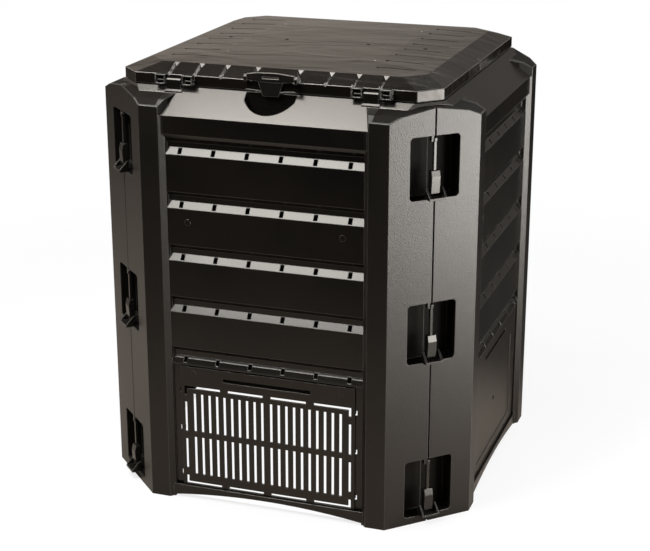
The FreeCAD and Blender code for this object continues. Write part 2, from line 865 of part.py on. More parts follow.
def handle_lugs():
    """Two lugs on the front slope of the lid with the pins that the handle turns on."""
    depth = half - handle_axis
    root = half - lid_half_width + handle_lug_reach
    floor = rim_top - bite
    outline = [(depth - handle_lug_edge, floor),
               (depth - handle_lug_edge, handle_axis_height),
               (depth - handle_lug_edge / 2, handle_axis_height + handle_lug_edge),
               (depth + handle_lug_edge / 2, handle_axis_height + handle_lug_edge),
               (root, handle_axis_height),
               (root, floor)]
    near = handle_half_width + side_gap
    lug = side_prism(outline, near, near + handle_lug_sheet)
    pin = rod(handle_pin_radius, near - handle_pin_length, near + bite, -handle_axis, handle_axis_height)
    right = fused([lug, pin])
    return [right, mirrored(right)]


def snap_block(place, gap):
    """Square stud of a snap, or with no gap the hole that it springs into."""
    wide = snap_hole_width / 2 - gap
    long = snap_hole_length / 2 - gap
    return box(place - wide, place + wide, -snap_reach / 2 - long, -snap_reach / 2 + long,
               lid_underside, tall)


def lid_front():
    blank, hollow = lid_blank()
    front = blank.common(box(-tall, tall, -tall, -lid_seam_gap / 2, 0, tall))
    lugs = [shape.cut(hollow) for shape in handle_lugs()]
    holes = [snap_block(place, 0) for place in snap_places]
    return fused([front] + lid_ribs(hollow) + clip_loops() + lugs).cut(Part.Compound(holes))


def lid_rear():
    """Rear half, with tongues that reach under the front half and snap into its holes."""
    blank, hollow = lid_blank()
    rear = blank.common(box(-tall, tall, lid_seam_gap / 2, tall, 0, tall))
    outside = stacked(lid_levels(0, 0))
    under_skin = outside.copy()
    under_skin.translate(Vector(0, 0, -lid_sheet))
    lower = outside.copy()
    lower.translate(Vector(0, 0, -2 * lid_sheet))
    layer = under_skin.cut(lower)
    tongues = []
    for place in snap_places:
        tongues.append(box(place - snap_half_width, place + snap_half_width,
                           -snap_reach, snap_reach, lid_underside, tall).common(layer))
        tongues.append(snap_block(place, snap_pin_clearance).common(outside.cut(lower)))
    ribs = [turned(shape, 2) for shape in lid_ribs(hollow)]
    loops = [turned(shape, 2) for shape in clip_loops()]
    return fused([rear] + tongues + ribs + loops)


def handle_bar():
    """Lens-shaped bar with a long slot, and a seat open to the rear at both ends for its pins."""
    half_high = handle_height / 2
    end_high = handle_end_height / 2
    back = -handle_axis + handle_sheet / 2
    ends = [Vector(side * handle_half_width, back, handle_axis_height + level)
            for side, level in ((-1, -end_high), (-1, end_high), (1, end_high), (1, -end_high))]
    top = Part.Arc(ends[1], Vector(0, back, handle_axis_height + half_high), ends[2]).toShape()
    foot = Part.Arc(ends[3], Vector(0, back, handle_axis_height - half_high), ends[0]).toShape()
    left = Part.LineSegment(ends[0], ends[1]).toShape()
    right = Part.LineSegment(ends[2], ends[3]).toShape()
    bar = Part.Face(Part.Wire([left, top, right, foot])).extrude(Vector(0, -handle_sheet, 0))
    slot = box(-handle_slot_half_width, handle_slot_half_width, -handle_axis - handle_sheet, back,
               handle_axis_height - handle_slot_height / 2, handle_axis_height + handle_slot_height / 2)
    room = handle_pin_radius + pin_clearance
    seat = box(handle_half_width - handle_pin_length - handle_bore_room, handle_half_width,
               -handle_axis - room, back, handle_axis_height - room, handle_axis_height + room)
    return bar.cut(Part.Compound([slot, seat, mirrored(seat)]))


def handle_stem():
    """Tapered tongue below the bar, with a slim curved arm to each side."""
    front = -handle_axis - stem_sheet / 2
    head = handle_axis_height - handle_height / 2 + stem_root
    points = [Vector(-stem_top_half_width, front, head),
              Vector(stem_top_half_width, front, head),
              Vector(stem_foot_half_width, front, stem_foot),
              Vector(-stem_foot_half_width, front, stem_foot)]
    stem = prism(points, Vector(0, stem_sheet, 0))
    level = stem_foot + arm_lift
    root = stem_foot_half_width - arm_root
    arms = []
    for side in (-1, 1):
        rows = []
        for lift in (0, arm_height):
            start = Vector(side * root, front, level + lift)
            middle = Vector(side * (root + arm_reach) / 2, front, level + arm_rise / 2 + arm_bow + lift)
            end = Vector(side * arm_reach, front, level + arm_rise + lift)
            rows.append((start, middle, end))
        low, high = rows
        outline = [Part.Arc(*low).toShape(),
                   Part.LineSegment(low[2], high[2]).toShape(),
                   Part.Arc(high[2], high[1], high[0]).toShape(),
                   Part.LineSegment(high[0], low[0]).toShape()]
        arms.append(Part.Face(Part.Wire(outline)).extrude(Vector(0, arm_sheet, 0)))
    return [stem] + arms


def lid_handle():
    return fused([handle_bar()] + handle_stem())


os.makedirs("parts", exist_ok=True)

wall_names = ("front", "right", "rear", "left")
row_names = ("bottom", "middle", "top")
whole_wall = wall_shape()
grille = grille_hatch()
plain = plain_hatch()
for quarter, name in enumerate(wall_names):
    save("wall_" + name, turned(whole_wall, quarter))
    save("hatch_" + name, turned(plain if quarter else grille, quarter))

corner_names = ("front_right", "rear_right", "rear_left", "front_left")
for row, sill in zip(row_names, window_sills):
    strap = at_corner(latch(sill))
    for quarter, name in enumerate(corner_names):
        save("latch_" + name + "_" + row, turned(strap, quarter))

save("top_frame", top_frame())
save("clip_rods_front", clip_rods(0))
save("clip_rods_rear", clip_rods(2))
save("lid_front_half", lid_front())
save("lid_rear_half", lid_rear())
save("lid_handle", lid_handle())
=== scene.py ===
import bpy
import math
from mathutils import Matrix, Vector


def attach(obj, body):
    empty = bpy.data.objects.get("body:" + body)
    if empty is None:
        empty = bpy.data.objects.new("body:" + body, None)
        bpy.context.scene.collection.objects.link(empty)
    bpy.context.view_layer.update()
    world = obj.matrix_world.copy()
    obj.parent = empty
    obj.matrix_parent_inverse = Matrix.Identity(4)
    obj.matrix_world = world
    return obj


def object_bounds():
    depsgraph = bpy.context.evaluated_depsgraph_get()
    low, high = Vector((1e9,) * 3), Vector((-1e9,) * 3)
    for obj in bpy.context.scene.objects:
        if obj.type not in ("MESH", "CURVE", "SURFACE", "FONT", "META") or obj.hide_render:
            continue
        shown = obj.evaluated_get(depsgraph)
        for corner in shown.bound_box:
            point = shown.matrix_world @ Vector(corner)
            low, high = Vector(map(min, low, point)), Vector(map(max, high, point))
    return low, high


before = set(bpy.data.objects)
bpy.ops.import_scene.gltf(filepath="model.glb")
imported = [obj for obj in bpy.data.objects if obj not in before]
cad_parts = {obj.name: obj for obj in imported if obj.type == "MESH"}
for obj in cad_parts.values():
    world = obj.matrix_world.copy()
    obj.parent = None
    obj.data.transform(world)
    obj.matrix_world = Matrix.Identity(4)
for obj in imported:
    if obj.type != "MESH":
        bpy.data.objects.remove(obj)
cad_low, cad_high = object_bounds()

# The four walls are moulded from black recycled polypropylene. Posts and slanted corner faces carry
# a matt grain, the leaning boards between them are smoother, and the latch pockets stay dull inside.
SIDES = ("front", "right", "rear", "left")
BIN_HALF = cad_high[0]
CORNER_SUM = 2 * BIN_HALF - 0.1273
WALL_SKIN = 0.003
FIELD_HALF_WIDTH = 0.186
POCKET_LIMITS = {"nearer": 0.200, "farther": BIN_HALF - WALL_SKIN, "sum": CORNER_SUM - 0.0040}
CHEEK_LIMITS = {"offset": 0.0165, "sum": CORNER_SUM - 0.0297}
WALL_COLOUR = (0.0050, 0.0043, 0.0036)
WALL_SHINE = (1.0, 0.955, 0.89)
WARM_SHINE = (1.0, 0.95, 0.88)
PLAIN_SHEEN = 0.5
POST_ROUGHER = 0.10
POCKET_ROUGHER = 0.35
POCKET_DULLER = 0.42
GRAIN_SIZE = 0.0018
CLOUD_SCALE = 7
CLOUD_STOPS = (0.35, 0.70)
CLOUD_TINTS = (1.0, 0.8, 0.55)
CLOUD_POLISH = 0.05
EDGE_SAMPLES = 6
EDGE_BEND = (0.995, 0.94)
EDGE_GLEAM = 0.35
FLOW_STRETCH = (3.5, 9, 9)
FLOW_SCALE = 1.5
FLOW_CURL = 0.9
FLOW_RANGE = (0.36, 0.64)
FLOW_SHEEN = 0.12


def arithmetic(tree, operation, first, second):
    """A Math node on two sockets or numbers. Sums, differences and products stay between 0 and 1."""
    step = tree.nodes.new("ShaderNodeMath")
    step.operation = operation
    step.use_clamp = operation in ("ADD", "SUBTRACT", "MULTIPLY")
    for value, entry in ((first, step.inputs[0]), (second, step.inputs[1])):
        if isinstance(value, (int, float)):
            entry.default_value = value
        else:
            tree.links.new(value, entry)
    return step.outputs["Value"]


def product(tree, *factors):
    """Multiply sockets and numbers that all lie between 0 and 1."""
    whole = factors[0]
    for factor in factors[1:]:
        whole = arithmetic(tree, "MULTIPLY", whole, factor)
    return whole


def spread(tree, value, measured, wanted):
    """Carry a socket from the range it is measured in to the range that is wanted."""
    step = tree.nodes.new("ShaderNodeMapRange")
    step.inputs["From Min"].default_value, step.inputs["From Max"].default_value = measured
    step.inputs["To Min"].default_value, step.inputs["To Max"].default_value = wanted
    tree.links.new(value, step.inputs["Value"])
    return step.outputs["Result"]


def noise(tree, place, scale, detail=2.0, distortion=0.0):
    clouds = tree.nodes.new("ShaderNodeTexNoise")
    clouds.inputs["Scale"].default_value = scale
    clouds.inputs["Detail"].default_value = detail
    clouds.inputs["Distortion"].default_value = distortion
    tree.links.new(place, clouds.inputs["Vector"])
    return clouds.outputs["Fac"]


def relief(tree, pattern, height, normal):
    """A Bump node that raises a pattern by its height over a normal."""
    bump = tree.nodes.new("ShaderNodeBump")
    bump.inputs["Strength"].default_value = 1
    bump.inputs["Distance"].default_value = height
    tree.links.new(pattern, bump.inputs["Height"])
    tree.links.new(normal, bump.inputs["Normal"])
    return bump


def parts_of(tree, vector, absolute=False):
    """The X, Y and Z of a vector, or how far each of them is from 0."""
    if absolute:
        away = tree.nodes.new("ShaderNodeVectorMath")
        away.operation = "ABSOLUTE"
        tree.links.new(vector, away.inputs[0])
        vector = away.outputs["Vector"]
    parts = tree.nodes.new("ShaderNodeSeparateXYZ")
    tree.links.new(vector, parts.inputs["Vector"])
    return parts.outputs["X"], parts.outputs["Y"], parts.outputs["Z"]


def blend(tree, share, first, second):
    """Mix two colours, each of them a socket or a written colour."""
    mix = tree.nodes.new("ShaderNodeMix")
    mix.data_type = "RGBA"
    tree.links.new(share, mix.inputs["Factor"])
    for colour, entry in ((first, mix.inputs["A"]), (second, mix.inputs["B"])):
        if isinstance(colour, tuple):
            entry.default_value = colour
        else:
            tree.links.new(colour, entry)
    return mix.outputs["Result"]


def moulded_plastic(name, colour, roughness, grain_height, edge_radius, tint=0.6, shine=WARM_SHINE,
                    flow=0.0, edge_wear_and_highlight=0.03, edges_below=1.0):
    """Plastic with a fine grain and a cloudy tone. Its edges are rounded below a height and take a pale
    colour there, partly wear and partly a painted highlight, and where flow has a height, the melt has
    left long waves along X."""
    material = bpy.data.materials.new(name)
    material.use_nodes = True
    tree = material.node_tree
    shader = tree.nodes["Principled BSDF"]
    shader.inputs["Specular Tint"].default_value = (*shine, 1)
    place = tree.nodes.new("ShaderNodeTexCoord").outputs["Object"]

    cloud = noise(tree, place, CLOUD_SCALE, detail=4)
    tones = tree.nodes.new("ShaderNodeValToRGB")
    cloudy = [part * (1 + tint * share) for part, share in zip(colour, CLOUD_TINTS)]
    for stop, position, tone in zip(tones.color_ramp.elements, CLOUD_STOPS, (colour, cloudy)):
        stop.position = position
        stop.color = (*tone, 1)
    tree.links.new(cloud, tones.inputs["Fac"])
    polish = spread(tree, cloud, (0, 1), (roughness - CLOUD_POLISH, roughness + CLOUD_POLISH))
    tree.links.new(polish, shader.inputs["Roughness"])

    low_part = arithmetic(tree, "LESS_THAN", parts_of(tree, place)[2], edges_below)
    rounding = tree.nodes.new("ShaderNodeBevel")
    rounding.samples = EDGE_SAMPLES
    tree.links.new(product(tree, low_part, edge_radius), rounding.inputs["Radius"])
    face = tree.nodes.new("ShaderNodeNewGeometry")
    aligned = tree.nodes.new("ShaderNodeVectorMath")
    aligned.operation = "DOT_PRODUCT"
    tree.links.new(rounding.outputs["Normal"], aligned.inputs[0])
    tree.links.new(face.outputs["Normal"], aligned.inputs[1])
    on_edge = product(tree, spread(tree, aligned.outputs["Value"], EDGE_BEND, (0, 1)), low_part)
    # Pale edge colour: partly wear, partly a painted highlight along the rounded edges.
    worn_and_highlit_edge = (*[edge_wear_and_highlight * part for part in shine], 1)
    tree.links.new(blend(tree, on_edge, tones.outputs["Color"], worn_and_highlit_edge), shader.inputs["Base Color"])

    sheen = PLAIN_SHEEN
    normal = rounding.outputs["Normal"]
    if flow:
        along = tree.nodes.new("ShaderNodeMapping")
        along.inputs["Scale"].default_value = FLOW_STRETCH
        tree.links.new(place, along.inputs["Vector"])
        waves = noise(tree, along.outputs["Vector"], FLOW_SCALE, detail=2.5, distortion=FLOW_CURL)
        sheen = spread(tree, waves, FLOW_RANGE, (PLAIN_SHEEN - FLOW_SHEEN, PLAIN_SHEEN + FLOW_SHEEN))
        normal = relief(tree, waves, flow, normal).outputs["Normal"]
    gleam = arithmetic(tree, "ADD", product(tree, on_edge, EDGE_GLEAM), sheen)
    tree.links.new(gleam, shader.inputs["Specular IOR Level"])
    grain = relief(tree, noise(tree, place, 1 / GRAIN_SIZE, detail=1), grain_height, normal)
    grain.name = "grain"
    tree.links.new(grain.outputs["Normal"], shader.inputs["Normal"])
    return material


def zones_of_a_wall(material):
    """Leave the grain off the boards between the posts, and the polish off the insides of the pockets."""
    tree = material.node_tree
    shader = tree.nodes["Principled BSDF"]
    place = tree.nodes.new("ShaderNodeTexCoord").outputs["Object"]
    x, y, _ = parts_of(tree, place, absolute=True)
    nearer, farther = arithmetic(tree, "MINIMUM", x, y), arithmetic(tree, "MAXIMUM", x, y)
    total = arithmetic(tree, "ADD", x, y)
    on_post = arithmetic(tree, "GREATER_THAN", nearer, FIELD_HALF_WIDTH)
    inside = product(tree, arithmetic(tree, "GREATER_THAN", nearer, POCKET_LIMITS["nearer"]),
                     arithmetic(tree, "LESS_THAN", farther, POCKET_LIMITS["farther"]),
                     arithmetic(tree, "LESS_THAN", total, POCKET_LIMITS["sum"]))
    offset = arithmetic(tree, "SUBTRACT", farther, nearer)
    cheeks = product(tree, arithmetic(tree, "LESS_THAN", offset, CHEEK_LIMITS["offset"]),
                     arithmetic(tree, "GREATER_THAN", total, CHEEK_LIMITS["sum"]))
    inside = arithmetic(tree, "SUBTRACT", inside, cheeks)
    polish = shader.inputs["Roughness"].links[0].from_socket
    rougher = arithmetic(tree, "ADD", product(tree, on_post, POST_ROUGHER),
                         product(tree, inside, POCKET_ROUGHER))
    tree.links.new(arithmetic(tree, "ADD", polish, rougher), shader.inputs["Roughness"])
    gleam = shader.inputs["Specular IOR Level"].links[0].from_socket
    duller = arithmetic(tree, "SUBTRACT", gleam, product(tree, inside, POCKET_DULLER))
    tree.links.new(duller, shader.inputs["Specular IOR Level"])
    tree.links.new(on_post, tree.nodes["grain"].inputs["Strength"])


def dress(node_names, material):
    """Give nodes of the frame their plastic."""
    for node_name in node_names:
        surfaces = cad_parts[node_name].data.materials
        surfaces.clear()
        surfaces.append(material)


wall_plastic = moulded_plastic("wall plastic", WALL_COLOUR, roughness=0.22, grain_height=0.00030,
                               edge_radius=0.0016, shine=WALL_SHINE, edge_wear_and_highlight=0.06)
zones_of_a_wall(wall_plastic)
dress(["wall_" + side for side in SIDES], wall_plastic)

# Ejector pins leave round marks on the mouldings, two on the second board of every wall. They are
# thin discs of the same plastic, instanced on their centres, with the rim that a pin presses up.
BOARD_MARKS = {"across": 0.147, "height": 0.549, "plane": BIN_HALF - 0.0090,
               "radius": 0.0062, "thickness": 0.0004}
DISC_CORNERS = 20


def settle(piece):
    """Turn a piece with its modifiers into a plain mesh."""
    seen = piece.evaluated_get(bpy.context.evaluated_depsgraph_get())
    plain = bpy.data.meshes.new_from_object(seen)
    piece.modifiers.clear()
    piece.data = plain


def round_marks(name, centres, radius, thickness, material, body, lean=0.0):
    """Discs on their centres, leaning by an angle about X, made by a geometry tree and kept as a mesh."""
    points = bpy.data.meshes.new(name)
    points.from_pydata(centres, [], [])
    marks = bpy.data.objects.new(name, points)
    bpy.context.scene.collection.objects.link(marks)
    tree = bpy.data.node_groups.new(name, "GeometryNodeTree")
    tree.interface.new_socket("Centres", in_out="INPUT", socket_type="NodeSocketGeometry")
    sizes = {"Radius": radius, "Thickness": thickness, "Lean": lean}
    sockets = {}
    for size in sizes:
        socket = tree.interface.new_socket(size, in_out="INPUT", socket_type="NodeSocketFloat")
        sockets[size] = socket.identifier
    tree.interface.new_socket("Marks", in_out="OUTPUT", socket_type="NodeSocketGeometry")
    entry, exit_node = tree.nodes.new("NodeGroupInput"), tree.nodes.new("NodeGroupOutput")
    disc = tree.nodes.new("GeometryNodeMeshCylinder")
    disc.inputs["Vertices"].default_value = DISC_CORNERS
    turn = tree.nodes.new("ShaderNodeCombineXYZ")
    copies = tree.nodes.new("GeometryNodeInstanceOnPoints")
    solid = tree.nodes.new("GeometryNodeRealizeInstances")
    paint = tree.nodes.new("GeometryNodeSetMaterial")
    paint.inputs["Material"].default_value = material
    tree.links.new(entry.outputs["Centres"], copies.inputs["Points"])
    tree.links.new(entry.outputs["Radius"], disc.inputs["Radius"])
    tree.links.new(entry.outputs["Thickness"], disc.inputs["Depth"])
    tree.links.new(entry.outputs["Lean"], turn.inputs["X"])
    tree.links.new(disc.outputs["Mesh"], copies.inputs["Instance"])
    tree.links.new(turn.outputs["Vector"], copies.inputs["Rotation"])
    tree.links.new(copies.outputs["Instances"], solid.inputs["Geometry"])
    tree.links.new(solid.outputs["Geometry"], paint.inputs["Geometry"])
    tree.links.new(paint.outputs["Geometry"], exit_node.inputs["Marks"])
    modifier = marks.modifiers.new(name, "NODES")
    modifier.node_group = tree
    for size, value in sizes.items():
        modifier[sockets[size]] = value
    settle(marks)
    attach(marks, body)
    return marks


def marks_on_a_side(name, quarters, across, height, plane, radius, thickness, material, body, plastic):
    """Two round marks on the front side, carried round to another side by quarter turns."""
    centres = [(side * across, -plane, height) for side in (-1, 1)]
    marks = round_marks(name, centres, radius, thickness, material, body, lean=math.radians(90))
    for corner in marks.data.vertices:
        x, y, z = corner.co
        for _ in range(quarters):
            x, y = -y, x
        corner.co = (x, y, z)


for quarters, side in enumerate(SIDES):
    marks_on_a_side("board_marks_" + side, quarters, material=wall_plastic, body="bin",
                    plastic="wall_plastic", **BOARD_MARKS)

# A hatch of the same plastic stands in the foot of each wall, in a grooved rail, and snaps behind the
# posts. The front one is cut as a grille. Two ejector marks show at its upper corners.
HATCH_COLOUR = (0.0066, 0.0054, 0.0043)
HATCH_MARKS = {"across": 0.145, "height": 0.2555, "plane": BIN_HALF - 0.0107,
               "radius": 0.0058, "thickness": 0.0005}
hatch_plastic = moulded_plastic("hatch plastic", HATCH_COLOUR, roughness=0.30, grain_height=0.00008,
                                edge_radius=0.0014, tint=0.8)
dress(["hatch_" + side for side in SIDES], hatch_plastic)
for quarters, side in enumerate(SIDES):
    marks_on_a_side("hatch_marks_" + side, quarters, material=hatch_plastic, body="hatch_" + side,
                    plastic="hatch_plastic", **HATCH_MARKS)

# Twelve latches hang over the corner seams: a thin strap with a block at its foot that clicks between
# two cheeks. They are moulded smooth, so their fronts shine out of the dull pockets.
LATCH_COLOUR = (0.0100, 0.0093, 0.0086)
latch_plastic = moulded_plastic("latch plastic", LATCH_COLOUR, roughness=0.20, grain_height=0.00003,
                                edge_radius=0.0014, tint=0.4)
dress([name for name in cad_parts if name.startswith("latch_")], latch_plastic)

# The top frame is one moulding that drops over the walls and ties them. Its four shoulders are the
# largest smooth faces of the bin. The rods that the lid's clips hold are pressed into its brackets.
FRAME_COLOUR = (0.0050, 0.0043, 0.0036)
FRAME_SHINE = (1.0, 0.93, 0.84)
frame_plastic = moulded_plastic("frame plastic", FRAME_COLOUR, roughness=0.23, grain_height=0.00006,
                                edge_radius=0.0014, tint=0.5, shine=FRAME_SHINE)
dress(["top_frame", "clip_rods_front", "clip_rods_rear"], frame_plastic)

# The lid is moulded in two halves that snap together across the middle. The melt has left faint waves
# in its top. Its rim and clips are rounded, but the grooves in the top keep their sharp edges.
LID_COLOUR = (0.0040, 0.0032, 0.0026)
LID_SHINE = (1.0, 0.94, 0.86)
LID_TOP = cad_high[2]
GROOVES_ABOVE = LID_TOP - 0.0165
lid_plastic = moulded_plastic("lid plastic", LID_COLOUR, roughness=0.22, grain_height=0.00008,
                              edge_radius=0.0024, tint=0.9, shine=LID_SHINE, flow=0.004, edge_wear_and_highlight=0.12,
                              edges_below=GROOVES_ABOVE)
dress(["lid_front_half", "lid_rear_half"], lid_plastic)

# Each groove on the lid's top ends at the left in a painted shadow, a dark disc where the groove's end
# wall would cast shade. Dark discs also stand for the recesses of the four snaps beside the seam, as
# painted shade.
LID_CROWN = {"half_width": 0.150, "height": LID_TOP}
LID_EDGE = {"half_width": 0.2605, "height": LID_TOP - 0.004}
GROOVE_PITCH = 0.058
GROOVE_STARTS = (-0.2315, 0.1625)
GROOVES_PER_HALF = 4
GROOVE_SHADOW_RADIUS = 0.0026
SNAP_PLACES = (-0.196, -0.080, 0.084, 0.196)
SNAP_BACK = 0.009
SNAP_RADIUS = 0.0036
MARK_THICKNESS = 0.0006
PAINTED_SHADE_TONES = (0.001, 0.003)
# Near-black with a little noise: painted shade for the groove ends and the snap recesses.
painted_shade_disc = bpy.data.materials.new("painted dark discs")
painted_shade_disc.use_nodes = True
painted_shade_tree = painted_shade_disc.node_tree
painted_shade_shader = painted_shade_tree.nodes["Principled BSDF"]
painted_shade_place = painted_shade_tree.nodes.new("ShaderNodeTexCoord").outputs["Object"]
painted_shade_tone = spread(painted_shade_tree, noise(painted_shade_tree, painted_shade_place, scale=300), (0, 1), PAINTED_SHADE_TONES)
painted_shade_tree.links.new(painted_shade_tone, painted_shade_shader.inputs["Base Color"])
painted_shade_shader.inputs["Specular IOR Level"].default_value = 0.05


def lid_top_at(x, y):
    """Height of the lid's gently domed top over a point."""
    inward = LID_EDGE["half_width"] - max(abs(x), abs(y))
    share = inward / (LID_EDGE["half_width"] - LID_CROWN["half_width"])
    rise = LID_CROWN["height"] - LID_EDGE["height"]
    return LID_EDGE["height"] + rise * min(1, max(0, share))


# Painted shadows at the left ends of the grooves.
for half, name in ((-1, "front"), (1, "rear")):
    rows = [half * (row + 0.5) * GROOVE_PITCH for row in range(GROOVES_PER_HALF)]
    centres = [(x, y, lid_top_at(x, y)) for y in rows for x in GROOVE_STARTS]
    round_marks("groove_end_shadows_" + name, centres, GROOVE_SHADOW_RADIUS, MARK_THICKNESS, painted_shade_disc,
                body="lid")
# Painted shade where the snap recesses sit.
centres = [(x, -SNAP_BACK, lid_top_at(x, SNAP_BACK)) for x in SNAP_PLACES]
round_marks("snap_recess_shades", centres, SNAP_RADIUS, MARK_THICKNESS, painted_shade_disc,
            body="lid")

# Four small discs show where the plastic was fed into the lid's two halves. They were cut off flush
# and are paler and rougher than the skin around them.
FEED_MARKS = {"across": 0.143, "along": 0.156, "radius": 0.0022, "sunk": 0.0002}
FEED_COLOUR = (0.20, 0.19, 0.17)
feed_scar = moulded_plastic("feed scar", FEED_COLOUR, roughness=0.55, grain_height=0.00020,
                            edge_radius=0.0005)
centres = [(x * FEED_MARKS["across"], y * FEED_MARKS["along"], LID_TOP - FEED_MARKS["sunk"])
           for x in (-1, 1) for y in (-1, 1)]
round_marks("feed_marks", centres, FEED_MARKS["radius"], MARK_THICKNESS, feed_scar,
            body="lid")

# Each V-shaped notch in the lid's front slope ends at the top in a small leaning web, which carries
# the skin over from the lid's top and shines against the dark slope.
NOTCH_PLACES = (0.040, 0.098, 0.148, 0.197)
NOTCH_HALF_WIDTH = 0.0052
NOTCH_DEPTH = 0.0068
WEB_LEAN = 0.0058
WEB_TOP = LID_EDGE["height"] - 0.0002
WEB_FOOT = WEB_TOP - NOTCH_DEPTH
WEB_BACK = -LID_EDGE["half_width"] - 0.0010
web_corners, web_faces = [], []
for place in [side * place for side in (-1, 1) for place in NOTCH_PLACES]:
    left, right, tip, root = range(len(web_corners), len(web_corners) + 4)
    web_corners += [(place - NOTCH_HALF_WIDTH, WEB_BACK, WEB_TOP),
                    (place + NOTCH_HALF_WIDTH, WEB_BACK, WEB_TOP),
                    (place, WEB_BACK - WEB_LEAN, WEB_FOOT),
                    (place, WEB_BACK, WEB_FOOT)]
    web_faces += [(left, tip, right), (left, right, root), (left, root, tip), (right, tip, root)]
web_mesh = bpy.data.meshes.new("notch_webs")
web_mesh.from_pydata(web_corners, [], web_faces)
web_mesh.materials.append(lid_plastic)
webs = bpy.data.objects.new("notch_webs", web_mesh)
bpy.context.scene.collection.objects.link(webs)
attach(webs, "lid")

# The handle pivots between two lugs on the lid's front rim. It is moulded smoother than the lid,
# with a slot in its bar, a tapered stem over the finger bowl and two thin spring arms.
HANDLE_COLOUR = (0.0075, 0.0068, 0.0061)
handle_plastic = moulded_plastic("handle plastic", HANDLE_COLOUR, roughness=0.22, grain_height=0.00003,
                                 edge_radius=0.0012, tint=0.4, edge_wear_and_highlight=0.20)
dress(["lid_handle"], handle_plastic)

# The bin stands on pale studio paper. The camera sees it white, with the bin's shadow round the foot and
# a strip of painted shade under the boards of the rear wall, where the glow is left off. The plastic
# mirrors it as a bright patch at the right of the bin that fades to a dark floor.
FLOOR_REACH = 12.0
PAPER_TONE = (0.85, 0.85, 0.85, 1)
STUDIO_TONE = (0.42, 0.365, 0.315, 1)
DARK_TONE = (0.04, 0.04, 0.04, 1)
DARK_FRONT = (-0.55, -1.9)
DARK_REAR_RIGHT = {"x": (0.2, 0.5), "y": (0.2, 0.6)}
PAPER_ENDS = {"x": ((0.2, 1.3), (2.6, 2.2)), "y": ((-2.2, -1.0), (0.25, -0.25))}
PAPER_SHARE = 0.50
PAPER_SHEEN = 0.06
PAPER_GLOW = 0.80
GLOW_RADII = (0.9, 2.0)
INSIDE_LIMITS = {"side": 0.34, "sum": 0.57}
REAR_FOOT_PAINTED_SHADE = {"half_width": 0.235, "start": (0.20, 0.25), "end": 0.335}


def fade(tree, value, start, end):
    """Rise smoothly from 0 at the start value to 1 at the end value."""
    step = tree.nodes.new("ShaderNodeMapRange")
    step.interpolation_type = "SMOOTHSTEP"
    step.inputs["From Min"].default_value = start
    step.inputs["From Max"].default_value = end
    tree.links.new(value, step.inputs["Value"])
    return step.outputs["Result"]


def shader_mix(tree, share, first, second):
    """Mix two shaders by a share of the second."""
    mix = tree.nodes.new("ShaderNodeMixShader")
    tree.links.new(share, mix.inputs["Fac"])
    tree.links.new(first, mix.inputs[1])
    tree.links.new(second, mix.inputs[2])
    return mix.outputs["Shader"]


floor_mesh = bpy.data.meshes.new("floor")
floor_corners = [(x * FLOOR_REACH, y * FLOOR_REACH, 0) for x, y in ((-1, -1), (1, -1), (1, 1), (-1, 1))]
floor_mesh.from_pydata(floor_corners, [], [(0, 1, 2, 3)])
floor = bpy.data.objects.new("floor", floor_mesh)
bpy.context.scene.collection.objects.link(floor)
floor_paper = bpy.data.materials.new("floor paper")
floor_paper.use_nodes = True
tree = floor_paper.node_tree
place = tree.nodes.new("ShaderNodeTexCoord").outputs["Object"]
path = tree.nodes.new("ShaderNodeLightPath")
mirrored = arithmetic(tree, "ADD", path.outputs["Is Glossy Ray"], path.outputs["Is Transmission Ray"])
x, y, _ = parts_of(tree, place)
x_away, y_away, _ = parts_of(tree, place, absolute=True)
along_x = [fade(tree, x, *ends) for ends in PAPER_ENDS["x"]]
along_y = [fade(tree, y, *ends) for ends in PAPER_ENDS["y"]]
on_paper = product(tree, *along_x, *along_y)
# Painted shade: the camera's glow is left off in a strip under the boards of the rear wall.
painted_rear_shade = product(tree, arithmetic(tree, "LESS_THAN", x_away, REAR_FOOT_PAINTED_SHADE["half_width"]),
                     arithmetic(tree, "LESS_THAN", y, REAR_FOOT_PAINTED_SHADE["end"]),
                     fade(tree, y, *REAR_FOOT_PAINTED_SHADE["start"]))
lit = product(tree, path.outputs["Is Camera Ray"], arithmetic(tree, "SUBTRACT", 1, painted_rear_shade))
# The glow leaves room for the shadow round the foot, and is full inside the walls and far away.
distance = tree.nodes.new("ShaderNodeVectorMath")
distance.operation = "LENGTH"
tree.links.new(place, distance.inputs[0])
far = fade(tree, distance.outputs["Value"], *GLOW_RADII)
outer_glow = arithmetic(tree, "ADD", product(tree, far, 1 - PAPER_GLOW), PAPER_GLOW)
farther_side = arithmetic(tree, "MAXIMUM", x_away, y_away)
sum_of_sides = arithmetic(tree, "ADD", x_away, y_away)
inner_glow = product(tree, arithmetic(tree, "LESS_THAN", farther_side, INSIDE_LIMITS["side"]),
                     arithmetic(tree, "LESS_THAN", sum_of_sides, INSIDE_LIMITS["sum"]))
seen_glow = product(tree, lit, arithmetic(tree, "MAXIMUM", outer_glow, inner_glow))
# What the plastic mirrors and the lamps light is a brown studio floor, dark in front and behind at right.
in_front = fade(tree, y, *DARK_FRONT)
behind = product(tree, fade(tree, x, *DARK_REAR_RIGHT["x"]), fade(tree, y, *DARK_REAR_RIGHT["y"]))
ground = blend(tree, arithmetic(tree, "ADD", in_front, behind), STUDIO_TONE, DARK_TONE)
pale = arithmetic(tree, "ADD", product(tree, on_paper, PAPER_SHARE), lit)
paper = tree.nodes["Principled BSDF"]
paper.inputs["Roughness"].default_value = 0.9
paper.inputs["Specular IOR Level"].default_value = 0
tree.links.new(blend(tree, pale, ground, PAPER_TONE), paper.inputs["Base Color"])
glow = tree.nodes.new("ShaderNodeEmission")
glow.inputs["Strength"].default_value = 1.0
glowing = arithmetic(tree, "ADD", seen_glow, product(tree, mirrored, on_paper, PAPER_SHEEN))
floor_surface = shader_mix(tree, glowing, paper.outputs["BSDF"], glow.outputs["Emission"])
tree.links.new(floor_surface, tree.nodes["Material Output"].inputs["Surface"])
floor_mesh.materials.append(floor_paper)

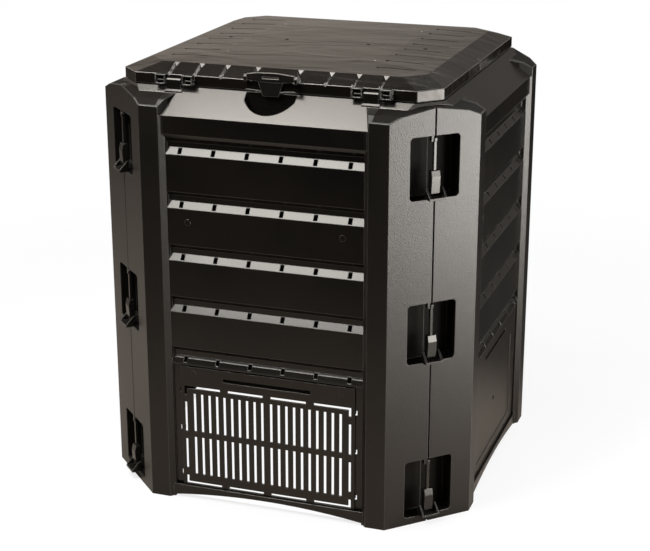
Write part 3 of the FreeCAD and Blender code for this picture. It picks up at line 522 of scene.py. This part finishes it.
# The room is dark, apart from a pale backdrop low behind the bin that the lid mirrors, and the camera
# sees it white. Softboxes hang over the front, the top and the rear right of the bin, and one more
# stands at its right.
ROOM_TONE = (0.10, 0.098, 0.095, 1)
BACKDROP_TONE = (1.0, 0.87, 0.75, 1)
BACKDROP_TOP = (0.61, 0.36)
BACKDROP_FRONT = (-0.5, 0.1)
BACKDROP_RIGHT = (-0.02, -0.36)
BACKDROP_LEFTOVER = 0.22
BACKDROP_SHARE = 0.42
scene = bpy.context.scene
scene.view_settings.view_transform = "Standard"
world = bpy.data.worlds.new("studio")
scene.world = world
world.use_nodes = True
tree = world.node_tree
room = tree.nodes["Background"]
room.inputs["Color"].default_value = ROOM_TONE
backdrop = tree.nodes.new("ShaderNodeBackground")
backdrop.inputs["Color"].default_value = BACKDROP_TONE
white = tree.nodes.new("ShaderNodeBackground")
white.inputs["Color"].default_value = (1, 1, 1, 1)
x, y, z = parts_of(tree, tree.nodes.new("ShaderNodeTexCoord").outputs["Generated"])
leftward = arithmetic(tree, "MAXIMUM", fade(tree, x, *BACKDROP_RIGHT), BACKDROP_LEFTOVER)
path = tree.nodes.new("ShaderNodeLightPath")
mirrored = arithmetic(tree, "ADD", path.outputs["Is Glossy Ray"], path.outputs["Is Transmission Ray"])
behind = product(tree, fade(tree, z, *BACKDROP_TOP), fade(tree, y, *BACKDROP_FRONT), leftward)
share = product(tree, mirrored, behind, BACKDROP_SHARE)
studio = shader_mix(tree, share, room.outputs["Background"], backdrop.outputs["Background"])
seen = shader_mix(tree, path.outputs["Is Camera Ray"], studio, white.outputs["Background"])
tree.links.new(seen, tree.nodes["World Output"].inputs["Surface"])


def softbox(name, place, tilt, turn, width, height, radiance):
    """A rectangular lamp that looks down, tilted about X and then turned about Z by angles in degrees."""
    lamp = bpy.data.lights.new(name, "AREA")
    lamp.shape = "RECTANGLE"
    lamp.size = width
    lamp.size_y = height
    lamp.energy = radiance * math.pi * width * height
    holder = bpy.data.objects.new(name, lamp)
    scene.collection.objects.link(holder)
    holder.location = place
    holder.rotation_euler = (math.radians(tilt), 0, math.radians(turn))
    holder.visible_camera = False


softbox("overhead box", (-0.62, -0.91, 2.26), tilt=33, turn=0, width=0.9, height=1.56, radiance=15)
softbox("top panel", (-0.75, 0.14, 2.70), tilt=0, turn=0, width=1.5, height=0.40, radiance=6)
softbox("right box", (1.65, -0.35, 0.50), tilt=90, turn=75, width=0.95, height=0.85, radiance=13)
softbox("rear box", (0.75, 1.10, 2.45), tilt=36, turn=146, width=1.0, height=1.10, radiance=8)

# The camera stands where the photograph was taken, to the right of the middle and above the lid. Its
# place and its focal length in pixels were fitted to the corners and edges of the bin.
CAMERA_PLACE = (0.9696, -2.8359, 1.3697)
CAMERA_YAW = 18.98
CAMERA_PITCH = 18.75
FOCAL_PIXELS = 1574.6
PICTURE_WIDTH = 650
SENSOR_WIDTH = 36.0
lens = bpy.data.cameras.new("camera")
lens.sensor_width = SENSOR_WIDTH
lens.lens = FOCAL_PIXELS / PICTURE_WIDTH * SENSOR_WIDTH
camera = bpy.data.objects.new("camera", lens)
scene.collection.objects.link(camera)
camera.location = CAMERA_PLACE
camera.rotation_euler = (math.radians(90 - CAMERA_PITCH), 0, math.radians(CAMERA_YAW))
scene.camera = camera
